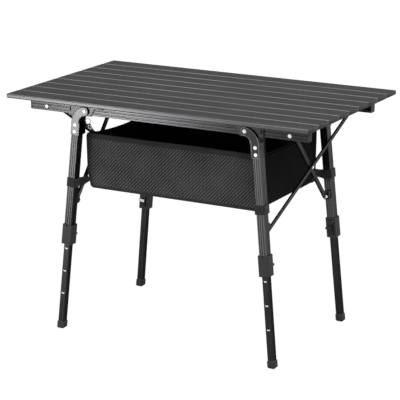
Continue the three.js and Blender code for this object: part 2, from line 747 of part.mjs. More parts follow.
// closed solid between two rounded rectangles, each given as { halfX, halfY, z }
const taperedBlock = (base, top, radius) => {
  const ring = ({ halfX, halfY, z }) =>
    rounded(2 * halfX, 2 * halfY, radius, 4).map(([x, y]) => [x, y, z]);
  const lower = ring(base);
  const count = lower.length;
  const points = [...lower, ...ring(top), [0, 0, base.z], [0, 0, top.z]];
  const baseCentre = 2 * count;
  const topCentre = baseCentre + 1;
  const index = [];
  for (let i = 0; i < count; i++) {
    const j = (i + 1) % count;
    index.push(i, j, count + j, i, count + j, count + i);
    index.push(j, i, baseCentre, count + i, count + j, topCentre);
  }
  const geometry = new THREE.BufferGeometry();
  geometry.setAttribute("position", new THREE.Float32BufferAttribute(points.flat(), 3));
  geometry.setIndex(index);
  return geometry;
};
const addBasket = () => {
  const inset = ({ halfX, halfY }, wall, z) => ({ halfX: halfX - wall, halfY: halfY - wall, z });
  const cavity = taperedBlock(
    inset(BASKET_BASE, BASKET_WALL, BASKET_BASE.z + BASKET_WALL),
    inset(BASKET_TOP, BASKET_WALL - 0.1, BASKET_TOP.z + 2),
    BASKET_CORNER_R - BASKET_WALL,
  );
  const tub = taperedBlock(BASKET_BASE, BASKET_TOP, BASKET_CORNER_R);
  add(table, "basket", cut(tub, cavity), FABRIC);
};

// ---------- assembly ----------
for (let i = 0; i < SLATS; i++) addSlat(i);
SIDES.forEach(addRail);
for (const corner of CORNERS) {
  addRailCap(corner);
  addSaddle(corner);
  addPivotRivet(corner);
}
for (const corner of CORNERS) {
  const leg = addLegFrame(corner);
  addUpperLeg(leg, corner);
  addLowerLeg(leg, corner);
  addCollar(leg, corner);
  addLever(leg, corner);
  addFoot(corner);
  addHingeBracket(corner);
  addBraceBracket(corner);
}
for (const sideX of SIDES) {
  for (const lowSideY of SIDES) addBrace(sideX, lowSideY);
  addBraceRivet(sideX);
}
addBasket();

export default table;
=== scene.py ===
"""Slatted folding table on four splayed legs, with a fabric basket hung under its top.

The table stands on z = 0 and is centred on the Z axis. It is long in X (left is -X) and its
front faces -Y. Lengths are millimetres, turned into metres as meshes are made; shaders, lights
and the camera are in metres. sx and sy are -1 or 1 and pick the left or right, front or back.
"""
import json
import math
import random

import bpy
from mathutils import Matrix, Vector

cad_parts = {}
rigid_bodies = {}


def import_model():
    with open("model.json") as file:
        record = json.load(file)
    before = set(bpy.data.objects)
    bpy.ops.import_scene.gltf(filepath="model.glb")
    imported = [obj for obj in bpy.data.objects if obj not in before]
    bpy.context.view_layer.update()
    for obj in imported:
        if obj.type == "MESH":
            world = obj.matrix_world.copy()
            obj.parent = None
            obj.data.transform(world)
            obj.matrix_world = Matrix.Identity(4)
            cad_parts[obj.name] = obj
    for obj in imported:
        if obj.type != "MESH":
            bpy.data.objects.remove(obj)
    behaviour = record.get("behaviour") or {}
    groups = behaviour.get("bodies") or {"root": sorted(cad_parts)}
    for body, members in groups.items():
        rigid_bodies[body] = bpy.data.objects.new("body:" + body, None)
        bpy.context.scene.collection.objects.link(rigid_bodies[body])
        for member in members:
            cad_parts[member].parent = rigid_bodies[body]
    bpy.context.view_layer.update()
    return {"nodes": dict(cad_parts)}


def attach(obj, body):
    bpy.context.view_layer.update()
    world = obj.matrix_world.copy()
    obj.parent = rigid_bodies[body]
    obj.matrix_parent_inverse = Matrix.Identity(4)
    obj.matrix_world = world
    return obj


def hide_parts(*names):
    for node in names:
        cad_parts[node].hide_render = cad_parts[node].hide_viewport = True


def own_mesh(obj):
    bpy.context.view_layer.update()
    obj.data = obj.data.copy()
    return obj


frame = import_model()
random.seed(7)

MM = 0.001
SIDES = {-1: "left", 1: "right"}
DEPTHS = {-1: "front", 1: "back"}
CORNERS = [(sx, sy) for sx in (-1, 1) for sy in (-1, 1)]

# slats run along X, stacked front to back
SLAT_COUNT, SLAT_PITCH, SLAT_Z = 9, 61.6, 660
SLAT_WIDTH, SLAT_THICKNESS = 59.4, 12

# each leg's axis starts at its foot and tips inwards by these slopes
LEG_LEAN, LEG_SPLAY = 0.0963, 0.024
FOOT_X, FOOT_Y = 329.4, 214.2
LEG_WIDTH, LEG_DEPTH = 23, 25.6
PIVOT_X, PIVOT_Z = 242, 627

# basket: half sizes at the rim and at the floor
RIM_Z, BASE_Z = 558.0, 406.0
RIM_X, RIM_Y, BASE_X, BASE_Y = 262.5, 173.2, 253.0, 168.5
CORNER_R = 10.0  # rounding between the ends and the floor
CORNER_Z = BASE_Z + CORNER_R
SAG = 10.0  # how far the end rims hang at their middle
BOW = 9.0  # how far the end rims bend inwards
RIB_PITCH, RIB_ANGLE = 6.9, math.radians(45.4)  # of the twill
DIAGONAL = math.radians(45)


# ------------------------------------------------------------------ shader tools
def grey(value):
    return (value,) * 3


def toned(colour, factor):
    return tuple(v * factor for v in colour)


class NodeTree:
    """The emptied node tree of a material or a world."""

    def __init__(self, owner):
        owner.use_nodes = True
        self.tree = owner.node_tree
        self.tree.nodes.clear()

    def feed(self, socket, value):
        """Links the socket to another one, or sets its value."""
        if isinstance(value, bpy.types.NodeSocket):
            self.tree.links.new(value, socket)
        elif socket.type == "RGBA":
            socket.default_value = (*value, 1)
        else:
            socket.default_value = value

    def node(self, kind, **values):
        """New node: capitalised names are its inputs, the others its settings."""
        node = self.tree.nodes.new("ShaderNode" + kind)
        for key, value in values.items():
            if key[0].isupper():
                self.feed(node.inputs[key.replace("_", " ")], value)
            else:
                setattr(node, key, value)
        return node

    def math(self, operation, *values):
        node = self.node("Math", operation=operation)
        for socket, value in zip(node.inputs, values):
            self.feed(socket, value)
        return node.outputs[0]

    def times(self, a, b):
        return self.math("MULTIPLY", a, b)

    def plus(self, a, b):
        return self.math("ADD", a, b)

    def mix(self, amount, base, other):
        node = self.node("Mix", data_type="RGBA")
        for index, value in ((0, amount), (6, base), (7, other)):
            self.feed(node.inputs[index], value)
        return node.outputs[2]

    def axes(self, vector):
        return self.node("SeparateXYZ", Vector=vector).outputs


class Shader(NodeTree):
    """A material with one principled surface."""

    def __init__(self, name):
        self.material = bpy.data.materials.new(name)
        super().__init__(self.material)
        self.output = self.node("OutputMaterial")
        self.surface = self.node("BsdfPrincipled")
        self.feed(self.output.inputs[0], self.surface.outputs[0])

    def paint(self, **values):
        for key, value in values.items():
            self.feed(self.surface.inputs[key.replace("_", " ")], value)

    def noise(self, scale, detail=3.0, rough=0.5):
        """Noise in object space; scale: one number, or one for each axis."""
        node = self.node("TexNoise", Scale=1.0, Detail=detail, Roughness=rough)
        place = self.node("TexCoord").outputs["Object"]
        scale = scale if isinstance(scale, tuple) else grey(scale)
        mapping = self.node("Mapping", Scale=scale, Vector=place)
        self.feed(node.inputs["Vector"], mapping.outputs[0])
        return node.outputs["Fac"]

    def ramp(self, value, span, to=(0.0, 1.0)):
        """Maps the range span onto the range to, and clamps."""
        node = self.node("MapRange", Value=value, From_Min=span[0], From_Max=span[1],
                         To_Min=to[0], To_Max=to[1])
        return node.outputs[0]

    def layer(self, colour, tone, mask, amount):
        """Lays tone over colour where mask is 1, amount strong."""
        return self.mix(self.times(mask, amount), colour, tone)

    def rounded(self, radius):
        """Normal with sharp edges rounded off."""
        return self.node("Bevel", samples=4, Radius=radius).outputs[0]

    def edges(self, rounded):
        """0 on flat faces, 1 along sharp edges."""
        dot = self.node("VectorMath", operation="DOT_PRODUCT")
        self.feed(dot.inputs[0], rounded)
        self.feed(dot.inputs[1], self.node("NewGeometry").outputs["True Normal"])
        return self.ramp(dot.outputs["Value"], span=(0.995, 0.80))

    def bump(self, height, strength, distance, normal=None):
        node = self.node("Bump", Strength=strength, Distance=distance, Height=height)
        if normal is not None:
            self.feed(node.inputs["Normal"], normal)
        return node.outputs[0]


# ------------------------------------------------------------------ kinds of material
def painted_lip_highlight(shader, colour, coords, normal, brightness):
    """Painted highlight along the upper front edges, fainter towards the right, where less light
    falls.
    """
    forward = shader.ramp(shader.times(normal["Y"], -1.0), span=(0.35, 0.75))
    front = shader.times(forward, shader.ramp(normal["Z"], span=(0.2, 0.5)))
    # uneven strength of the painted highlight along the edge
    highlight_breakup = shader.ramp(shader.noise((4, 60, 60)), span=(0.35, 0.65), to=(0.55, 1.0))
    place = shader.axes(coords.outputs["Object"])
    rightward = shader.ramp(place["X"], span=(-0.15, 0.12))
    tone = shader.mix(rightward, grey(brightness), grey(brightness * 0.45))
    return shader.layer(colour, tone, mask=front, amount=highlight_breakup)


def painted_inner_shade(shader, coords, normal, sx, sy):
    """Mask of painted shade: 1 on faces towards the inside of the frame, fading below z = 0.455 m,
    where the table shades them less.
    """
    across = shader.ramp(shader.times(normal["X"], -sx), span=(0.5, 0.8))
    along = shader.ramp(shader.times(normal["Y"], -sy), span=(0.5, 0.8))
    place = shader.axes(coords.outputs["Object"])
    height = shader.ramp(place["Z"], span=(0.385, 0.455), to=(0.25, 0.97))
    return shader.times(shader.math("MAXIMUM", across, along), height)


def anodised(name, base, rough, along, edge_mm, wear, tint=0.35, inner=None, lip=None,
             groove=0.0, reach=0.0022, sides=False, mottle=1.0):
    """Black anodised aluminium: brushed lengthwise, softly blotched, with worn edges.

    along: axis of the brushing. wear: tone of the edges. tint: of the reflections.
    inner: (sx, sy) of a leg, whose faces towards the inside of the frame get painted shade and
    dimmer reflections.
    lip: brightness of a painted highlight along the upper front edges. groove, reach: painted
    shade in grooves, and next to nearby parts when reach is long.
    sides: painted shade on all but the faces towards -X and +X. mottle: strength of the
    unevenness.
    """
    shader = Shader(name)

    def streaks(lengthwise, across, **detail):
        scales = {"x": (lengthwise, across, across), "z": (across, across, lengthwise)}
        return shader.noise(scales[along], **detail)

    brush = streaks(3, 900, detail=4.0, rough=0.7)
    streak = streaks(1.2, 120, detail=2.0)
    blotch = shader.noise(9, detail=4.0)
    speck = shader.noise(2600, detail=2.0)
    colour = shader.mix(shader.ramp(streak, span=(0.35, 0.65)),
                        toned(base, 1 - 0.12 * mottle), toned(base, 1 + 0.14 * mottle))
    colour = shader.layer(colour, toned(base, 1.35), amount=0.30 * mottle,
                          mask=shader.ramp(blotch, span=(0.4, 0.75)))
    colour = shader.layer(colour, toned(base, 1.5), amount=0.35 * mottle,
                          mask=shader.ramp(brush, span=(0.55, 0.8)))
    rounded = shader.rounded(edge_mm * MM)
    edges = shader.edges(rounded)
    scuff = shader.ramp(shader.noise(60, detail=5.0, rough=0.7), span=(0.42, 0.62), to=(0.25, 1.0))
    colour = shader.layer(colour, (wear, wear, wear * 1.01),
                          mask=shader.times(edges, scuff), amount=max(0.6, 0.8 * mottle))
    # painted shade: ambient occlusion darkens grooves, and with a long reach also paints contact
    # shadows beside nearby parts
    if groove:
        occlusion = shader.node("AmbientOcclusion", samples=16, only_local=reach < 0.003,
                                Distance=reach)
        colour = shader.layer(colour, grey(0.006), amount=groove,
                              mask=shader.ramp(occlusion.outputs["AO"], span=(0.93, 0.60)))
    if lip or inner or sides:
        coords = shader.node("TexCoord")
        normal = shader.axes(coords.outputs["Normal"])
    # painted highlight along the upper front edges
    if lip:
        colour = painted_lip_highlight(shader, colour, coords, normal, lip)
    reflection = grey(tint)
    # painted shade: inward faces, or the bars' flanks, are darkened and their reflections dimmed
    if inner or sides:
        if inner:
            shade, dark = painted_inner_shade(shader, coords, normal, *inner), grey(0.0012)
        else:
            turned = shader.ramp(shader.math("ABSOLUTE", normal["X"]), span=(0.85, 0.5))
            shade, dark = shader.times(turned, 0.95), grey(0.001)
        colour = shader.mix(shade, colour, dark)
        reflection = shader.mix(shade, grey(tint), grey(0.03))
    uneven = shader.plus(shader.times(brush, 0.6), shader.times(blotch, 0.4))
    height = shader.plus(shader.times(brush, 0.7), shader.times(speck, 0.5))
    shader.paint(
        Base_Color=colour, Metallic=0.9, Specular_Tint=reflection,
        Roughness=shader.ramp(uneven, span=(0.3, 0.7),
                              to=(rough - 0.05 * mottle, rough + 0.09 * mottle)),
        Normal=shader.bump(height, strength=0.10 * mottle, distance=0.00012, normal=rounded))
    shader.material.diffuse_color = (*base, 1)
    return shader.material


def moulded(name, base, rough):
    """Grained nylon with scuffed edges."""
    shader = Shader(name)
    grain = shader.noise(1500, rough=0.6)
    cloud = shader.noise(30, detail=4.0)
    colour = shader.mix(shader.ramp(cloud, span=(0.35, 0.7)), toned(base, 0.8), toned(base, 1.4))
    rounded = shader.rounded(0.8 * MM)
    colour = shader.layer(colour, (0.075, 0.075, 0.078), mask=shader.edges(rounded), amount=0.55)
    shader.paint(
        Base_Color=colour, Specular_IOR_Level=0.4,
        Roughness=shader.ramp(cloud, span=(0.3, 0.7), to=(rough - 0.08, rough + 0.10)),
        Normal=shader.bump(grain, strength=0.35, distance=0.00012, normal=rounded))
    return shader.material


def bright(name, base, rough, metal, glint=0.0):
    """Turned and polished steel; glint: how much it glows, as if mirroring the white studio."""
    shader = Shader(name)
    fine = shader.noise(1800)
    cloud = shader.noise(140)
    colour = shader.mix(shader.ramp(cloud, span=(0.35, 0.7)), toned(base, 0.82), base)
    # painted shade: the rims of domed heads darken where they turn away from the view
    facing = shader.node("LayerWeight", Blend=0.35).outputs["Facing"]
    colour = shader.layer(colour, toned(base, 0.16), amount=0.7,
                          mask=shader.ramp(facing, span=(0.45, 0.85)))
    if glint:
        shader.paint(Emission_Color=colour, Emission_Strength=glint)
    rounded = shader.rounded(0.4 * MM)
    shader.paint(
        Base_Color=colour, Metallic=metal,
        Roughness=shader.ramp(cloud, span=(0.3, 0.7), to=(rough - 0.06, rough + 0.1)),
        Normal=shader.bump(fine, strength=0.12, distance=0.0001, normal=rounded))
    return shader.material


def woven(name, dark, light, pitch_mm, angle, ribs=0.6, sheen=0.25, plane="XZ", fine=1.0,
          broken=0.0, glow=None, span=(0.3, 1.25), spec=0.25):
    """Woven cloth: ribs at an angle, crossed by a finer weave, in object space.

    plane: the cloth's own plane. ribs: their height. fine: scale of the finer weave.
    broken: how much the ribs are cut up. glow: (start x, end x, grey) of painted light that pales
    the cloth towards one end.
    span: relief that goes from the dark to the light colour.
    """
    shader = Shader(name)
    place = shader.axes(shader.node("TexCoord").outputs["Object"])
    u, v = place[plane[0]], place[plane[1]]
    cos_a, sin_a = math.cos(angle), math.sin(angle)
    pitch = pitch_mm * MM

    def wave(across, up, step):
        turn = 2 * math.pi / step
        phase = shader.plus(shader.times(u, across * turn), shader.times(v, up * turn))
        return shader.ramp(shader.math("SINE", phase), span=(-1, 1))

    rib = wave(-sin_a, cos_a, pitch)
    cross = wave(cos_a, sin_a, pitch * 0.42)
    cell = shader.times(wave(1, 0, 0.0011 * fine), wave(0, 1, 0.0011 * fine))
    fuzz = shader.noise(900, detail=4.0, rough=0.7)
    wide = shader.noise(14)
    if broken:
        cuts = shader.ramp(wave(1, 0, pitch * 1.52), span=(0.55, 0.95), to=(1.0, 1.0 - broken))
        rib = shader.times(rib, cuts)
        uneven = shader.noise(150, detail=2.0)
        rib = shader.times(rib, shader.ramp(uneven, span=(0.3, 0.7), to=(1 - broken * 0.6, 1.0)))
    fine_relief = shader.plus(shader.times(cross, ribs * 0.35), shader.times(cell, 0.45))
    height = shader.plus(shader.times(rib, ribs), fine_relief)
    height = shader.plus(height, shader.times(fuzz, 0.25))
    colour = shader.mix(shader.ramp(height, span=span), dark, light)
    colour = shader.layer(colour, toned(light, 1.3), amount=0.25,
                          mask=shader.ramp(wide, span=(0.4, 0.75)))
    if glow:
        colour = shader.mix(shader.ramp(place["X"], span=glow[:2]), colour, grey(glow[2]))
    shader.paint(Base_Color=colour, Roughness=0.9, Specular_IOR_Level=spec, Sheen_Weight=sheen,
                 Sheen_Roughness=0.6, Sheen_Tint=(0.5, 0.5, 0.52),
                 Normal=shader.bump(height, strength=0.55, distance=0.0006))
    return shader.material


# ------------------------------------------------------------------ the materials
# the slats' lip is a painted highlight along their upper front edges
SLAT = anodised("slat_black_anodised", base=(0.100, 0.100, 0.102), rough=0.36, along="x",
                edge_mm=0.5, wear=0.20, lip=0.27)
# the rails' groove darkening is painted shade in their grooves and beside the slats and saddles
RAIL = anodised("rail_black_anodised", base=(0.060, 0.060, 0.063), rough=0.26, along="x",
                edge_mm=0.8, wear=0.22, groove=0.42, reach=0.0045, mottle=0.55)
# painted light: the legs are toned darker on the left and lighter on the right, and the right
# legs' darker edge tone is painted shade over their edge highlights
LEG_LIT_TONES = {-1: dict(base=(0.050, 0.050, 0.051), rough=0.28, wear=0.07),
              1: dict(base=(0.140, 0.140, 0.142), rough=0.34, wear=0.02)}
LEG = {(sx, sy): anodised(f"leg_black_anodised_{SIDES[sx]}_{DEPTHS[sy]}", **LEG_LIT_TONES[sx],
                          along="z", edge_mm=0.3, inner=(sx, sy), groove=0.95, mottle=0.45)
       for sx, sy in CORNERS}
TUBE = anodised("lower_tube_black_anodised", base=(0.037, 0.037, 0.0385), rough=0.34, along="z",
                edge_mm=0.7, wear=0.16)
# sides: painted shade on the bars' flanks
BRACE = anodised("brace_bar_black", base=(0.115, 0.115, 0.117), rough=0.32, along="z",
                 edge_mm=0.5, wear=0.30, sides=True)
# painted light: the bracket plates are toned lighter on the left and darker on the right
PRESS_LIT_TONES = {-1: (0.078, 0.078, 0.080), 1: (0.048, 0.048, 0.049)}
PRESS = {(sx, sy): anodised(f"pressed_bracket_black_{SIDES[sx]}_{DEPTHS[sy]}",
                            base=PRESS_LIT_TONES[sx], rough=0.28, along="z", edge_mm=0.7, wear=0.2,
                            inner=(sx, sy), mottle=0.35)
         for sx, sy in CORNERS}
# its long-reach groove darkening paints the contact shadow round the hinge bracket
SADDLE = anodised("rail_saddle_black_anodised", base=(0.052, 0.052, 0.054), rough=0.28,
                  along="x", edge_mm=0.4, wear=0.08, groove=0.95, reach=0.0055, mottle=0.5)
# pale copy of the anodised metal: its brightness is a painted highlight on the bracket lips; the
# ring tabs use it too
LIP = anodised("bracket_lip_worn", base=grey(0.30), rough=0.34, along="z", edge_mm=0.3,
               wear=0.5, tint=0.8)
LEVER = moulded("lever_black_nylon", base=(0.005, 0.005, 0.0055), rough=0.5)
NYLON = moulded("black_nylon", base=(0.0155, 0.0155, 0.0163), rough=0.55)
STEEL = bright("polished_rivet_steel", base=(0.96, 0.96, 0.955), rough=0.40, metal=0.25,
               glint=0.30)
BUTTON = bright("dull_button_steel", base=(0.74, 0.74, 0.735), rough=0.45, metal=0.3, glint=0.12)
WIRE = bright("grey_wire_steel", base=(0.30, 0.30, 0.31), rough=0.30, metal=1.0)
TWILL = woven("basket_twill", dark=(0.002, 0.002, 0.0022), light=(0.080, 0.080, 0.083),
              pitch_mm=RIB_PITCH, angle=RIB_ANGLE, ribs=1.0, broken=0.25, sheen=0.15,
              span=(0.62, 1.35))
# painted shade: the inside is far darker than the cloth itself, with painted light on it towards
# the right end
LINING = woven("basket_inside", dark=(0.0015, 0.0015, 0.0016), light=(0.006, 0.006, 0.0062),
               pitch_mm=3.0, angle=DIAGONAL, sheen=0.0, ribs=0.3, glow=(0.14, 0.26, 0.05))
# painted shade: the basket's ends are coloured far darker than the cloth itself
END_CLOTH = woven("basket_end_cloth", dark=grey(0.001), light=(0.0042, 0.0042, 0.0044),
                  pitch_mm=3.0, angle=DIAGONAL, ribs=0.45, sheen=0.03, spec=0.08, plane="YZ",
                  fine=1.5)
# the hem along the ends, darker still: painted shade
END_HEM = woven("basket_end_hem", dark=grey(0.0008), light=(0.0026, 0.0026, 0.0027),
                pitch_mm=3.0, angle=DIAGONAL, sheen=0.0, plane="YZ", spec=0.05)
TAPE = woven("binding_tape", dark=(0.006, 0.006, 0.0065), light=(0.030, 0.030, 0.032),
             pitch_mm=2.2, angle=0.0, ribs=0.5, sheen=0.15)
WEBBING = woven("strap_webbing", dark=(0.006, 0.006, 0.0062), light=(0.022, 0.022, 0.023),
                pitch_mm=1.8, angle=math.radians(60), ribs=0.5, sheen=0.2, plane="YZ")
THREAD = woven("stitch_thread", dark=(0.010, 0.010, 0.011), light=(0.040, 0.040, 0.042),
               pitch_mm=1.0, angle=DIAGONAL)


# ------------------------------------------------------------------ mesh tools
def make(name, verts, faces, body, slot, *materials, angle=40):
    """Smooth-shaded object that rides on body; angle: degrees beyond which edges are sharp."""
    mesh = bpy.data.meshes.new(name)
    mesh.from_pydata([tuple(c * MM for c in v) for v in verts], [], faces)
    mesh.validate()
    obj = bpy.data.objects.new(name, mesh)
    bpy.context.scene.collection.objects.link(obj)
    for material in materials:
        mesh.materials.append(material)
    mesh.polygons.foreach_set("use_smooth", [True] * len(mesh.polygons))
    mesh.set_sharp_from_angle(angle=math.radians(angle))
    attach(obj, body)
    return obj


def circle(radius, steps):
    turns = [2 * math.pi * i / steps for i in range(steps)]
    return [(radius * math.cos(a), radius * math.sin(a)) for a in turns]


def rounded_rect(width, height, radius, steps=4):
    x, y = width / 2 - radius, height / 2 - radius
    points = []
    for cx, cy, start in ((x, y, 0), (-x, y, 90), (-x, -y, 180), (x, -y, 270)):
        for i in range(steps + 1):
            a = math.radians(start + 90 * i / steps)
            points.append((cx + radius * math.cos(a), cy + radius * math.sin(a)))
    return points


def subdivide(points, step, whole):
    """Splits the sides of a closed outline into parts of about step; whole: round or int."""
    out = []
    for i, (x, y) in enumerate(points):
        next_x, next_y = points[(i + 1) % len(points)]
        parts = max(1, whole(math.hypot(next_x - x, next_y - y) / step))
        out += [(x + (next_x - x) * t / parts, y + (next_y - y) * t / parts)
                for t in range(parts)]
    return out


def path_rings(points, outlines, up=(0, 0, 1)):
    """One outline (across, along up) at each point of an open path."""
    rings = []
    last = len(points) - 1
    for i, (point, outline) in enumerate(zip(points, outlines)):
        along = points[min(i + 1, last)] - points[max(i - 1, 0)]
        side = along.cross(Vector(up)).normalized()
        square_up = side.cross(along).normalized()
        rings.append([point + side * a + square_up * b for a, b in outline])
    return rings


class Solid:
    """Collects parts into one mesh."""

    def __init__(self):
        self.verts, self.faces = [], []

    def add(self, verts, faces):
        first = len(self.verts)
        self.verts += [tuple(p) for p in verts]
        self.faces += [tuple(i + first for i in face) for face in faces]
        return self

    def sweep(self, rings, closed=False, flip=False):
        """Skin over rings: a closed loop or a capped rod; flip: runs each ring backwards."""
        if flip:
            rings = [ring[::-1] for ring in rings]
        n, count = len(rings[0]), len(rings)
        faces = []
        for i in range(count if closed else count - 1):
            j = (i + 1) % count
            for a in range(n):
                b = (a + 1) % n
                faces.append((i * n + a, i * n + b, j * n + b, j * n + a))
        if not closed:
            faces.append(tuple(reversed(range(n))))
            faces.append(tuple((count - 1) * n + a for a in range(n)))
        return self.add([p for ring in rings for p in ring], faces)

    def lathe(self, centre, axis, profile, segments):
        """profile: (radius, distance along axis), starting and ending on the axis."""
        axis = Vector(axis).normalized()
        side = axis.orthogonal().normalized()
        up = axis.cross(side)
        verts, faces, rows = [], [], []
        for radius, distance in profile:
            ring = circle(radius, segments) if radius else [(0.0, 0.0)]
            rows.append(range(len(verts), len(verts) + len(ring)))
            middle = Vector(centre) + axis * distance
            verts += [middle + side * a + up * b for a, b in ring]
        for p, q in zip(rows, rows[1:]):
            for i in range(segments):
                j = (i + 1) % segments
                if len(p) == 1:
                    faces.append((p[0], q[j], q[i]))
                elif len(q) == 1:
                    faces.append((p[i], p[j], q[0]))
                else:
                    faces.append((p[i], p[j], q[j], q[i]))
        return self.add(verts, faces)

    def wire_loop(self, points, normal, radius):
        """Round wire along a closed loop in the plane normal to normal; 8 sides."""
        rings = []
        for i, point in enumerate(points):
            along = (points[(i + 1) % len(points)] - points[i - 1]).normalized()
            side = along.cross(normal).normalized()
            rings.append([point + side * a + normal * b for a, b in circle(radius, 8)])
        return self.sweep(rings, closed=True)

    def done(self, name, body, slot, *materials, **options):
        return make(name, self.verts, self.faces, body, slot, *materials, **options)


def leg_axis_x(z):
    """Distance of the leg's axis from the YZ plane."""
    return FOOT_X - LEG_LEAN * z


def leg_basis(sx, sy):
    z = Vector((-sx * LEG_LEAN, -sy * LEG_SPLAY, 1)).normalized()
    x = Vector((1, 0, sx * LEG_LEAN)).normalized()
    return x, z.cross(x), z


def leg_point(sx, sy, x, y, z):
    """x, y: from the leg's axis, towards +X and +Y. z: world height on the axis."""
    ex, ey, ez = leg_basis(sx, sy)
    along = z * math.sqrt(1 + LEG_LEAN**2 + LEG_SPLAY**2)
    return Vector((sx * FOOT_X, sy * FOOT_Y, 0)) + ex * x + ey * y + ez * along


# ------------------------------------------------------------------ finishes of the CAD pieces
def cad_finish(name):
    if name.startswith("slat_"):
        return SLAT
    if name.endswith("_rail"):
        return RAIL
    corner = (-1 if "left" in name else 1, -1 if "front" in name else 1)
    for prefix, material in (
            ("upper_leg", LEG[corner]), ("lower_leg", TUBE), ("end_brace", BRACE),
            ("hinge_saddle", SADDLE), ("leg_hinge_bracket", PRESS[corner]),
            ("lock_lever", LEVER), ("pivot_rivet", STEEL), ("brace_rivet", STEEL)):
        if name.startswith(prefix):
            return material
    return NYLON


for name, piece in frame["nodes"].items():
    piece.data.materials.clear()
    piece.data.materials.append(cad_finish(name))

# ------------------------------------------------------------------ slat end plugs
PLUG_STATIONS = [(448.6, 1.0), (450.15, 0.25), (451.0, 0.25), (451.6, 0.9)]  # |x|, inset


def slat_plugs(number):
    middle_y = (number - (SLAT_COUNT + 1) / 2) * SLAT_PITCH
    plugs = Solid()
    for sx in (-1, 1):
        rings = []
        for x, inset in PLUG_STATIONS:
            outline = rounded_rect(SLAT_WIDTH - 2 * inset, SLAT_THICKNESS - 2 * inset,
                                   3.0 - 0.6 * inset)
            rings.append([(sx * x, middle_y + a, SLAT_Z + b) for a, b in outline])
        plugs.sweep(rings, flip=sx < 0)
    plugs.done(f"slat_end_plugs_{number}", f"slat_{number}", "black_plastic", NYLON)


for number in range(1, SLAT_COUNT + 1):
    slat_plugs(number)

# ------------------------------------------------------------------ rivets
# (radius, height): a low head with a punched centre, from its base up
RIVET_HEAD = [(0, -0.1), (5.5, -0.1), (5.5, 0.0), (5.3, 0.5), (4.7, 1.15), (3.6, 1.62),
              (2.3, 1.72), (1.7, 1.5), (1.35, 0.95), (0.9, 0.7), (0, 0.75)]
# (radius, height): head of a pivot rivet, from its centre to its rim
PIVOT_HEAD = [(0, 0.75), (0.9, 0.7), (1.35, 0.95), (1.7, 1.45), (2.3, 1.66), (3.6, 1.56),
              (4.7, 1.12), (5.3, 0.5), (5.5, 0.0)]
SHANK_R, SHANK_IN, SHANK_OUT = 3.0, 181.28, 216.22  # pivot shank's radius and its ends' |y|


def rivet_head(solid, centre, axis, scale=1.0):
    solid.lathe(centre, axis, [(r * scale, h * scale) for r, h in RIVET_HEAD], 28)


def rail_rivets():
    rivets = Solid()
    for sx, sy in CORNERS:
        rivet_head(rivets, (sx * 367, sy * 208.6, PIVOT_Z), (0, sy, 0))
    rivets.done("rail_rivets", "rails", "bright_steel", STEEL)


def pivot_rivet(sx, sy, tag):
    """Two heads on one shank."""
    profile = [(r, SHANK_IN - h) for r, h in PIVOT_HEAD]
    profile += [(SHANK_R, SHANK_IN), (SHANK_R, SHANK_OUT)]
    profile += [(r, SHANK_OUT + h) for r, h in reversed(PIVOT_HEAD)]
    rivet = Solid().lathe((sx * PIVOT_X, 0, PIVOT_Z), (0, sy, 0), profile, 28)
    rivet = rivet.done(f"pivot_rivet_heads_{tag}", "rails", "bright_steel", STEEL)
    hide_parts(f"pivot_rivet_{tag}")


rail_rivets()
for sx, sy in CORNERS:
    pivot_rivet(sx, sy, f"{SIDES[sx]}_{DEPTHS[sy]}")

# ------------------------------------------------------------------ fittings of each leg
# the curved bracket: half width, bend radius, lowest z, angle at the pivot
NECK_HALF, NECK_R, NECK_BOTTOM, NECK_START = 11.5, 35.04, 559.0, math.radians(-8)
LIP_INSET = 1.0
# (outwards from the outline, |y|)
LIP_SECTION = [(-0.75, 215.85), (-0.6, 216.5), (-0.2, 216.85), (0.45, 216.8), (0.85, 216.4),
               (0.9, 215.85)]
# (out of the leg's face, scale)
BUTTON_STATIONS = [(-0.05, 1.0), (0.10, 1.0), (0.20, 0.88), (0.26, 0.55)]
# (radius, height)
PIN_PROFILE = [(0, 0), (1.8, 0), (1.7, 0.4), (1.1, 0.85), (0, 0.9)]
# lever clip and its tongue: lowest z, highest z, section (across the leg, inwards from its axis)
CLIP_PARTS = [
    (271.0, 279.0, [(-5.0, 20.45), (7.15, 20.45), (7.55, 20.05), (7.55, 16.2), (8.35, 16.2),
                    (8.35, 20.5), (7.5, 21.35), (-5.0, 21.35)]),
    (271.8, 278.2, [(8.3, 19.6), (15.2, 18.9), (15.7, 18.2), (15.2, 17.6), (8.3, 18.3)])]
STRAP_HALF = 11.7
# (height from the strap's middle, scale)
STRAP_STATIONS = [(-STRAP_HALF, 0.9904), (-12.2, 1.0), (0, 1.0024), (12.2, 1.0),
                  (STRAP_HALF, 0.9904)]


def neck_outline(inset):
    """The curved bracket's outline, (distance outboard, z), pulled in by inset."""
    half, bottom = NECK_HALF - inset, NECK_BOTTOM + inset
    tilt = math.atan(LEG_LEAN)
    sweep = tilt - math.pi / 2 - NECK_START
    centre_x = PIVOT_X + NECK_R * math.sin(NECK_START)
    centre_z = PIVOT_Z - NECK_R * math.cos(NECK_START)

    def arc(radius):
        angles = [NECK_START + sweep * i / 16 for i in range(17)]
        return [(centre_x - radius * math.sin(a), centre_z + radius * math.cos(a))
                for a in angles]

    turns = [NECK_START - math.pi * i / 12 for i in range(1, 12)]
    top = [(PIVOT_X + half * math.sin(a), PIVOT_Z - half * math.cos(a)) for a in turns]
    end = [(leg_axis_x(bottom) + s * half * math.cos(tilt), bottom + s * half * math.sin(tilt))
           for s in (1, -1)]
    points = top + arc(NECK_R + half) + end + arc(NECK_R - half)[::-1]
    # even spacing, so that the swept lip keeps its width along straight runs
    return subdivide(points, 2.5, round)


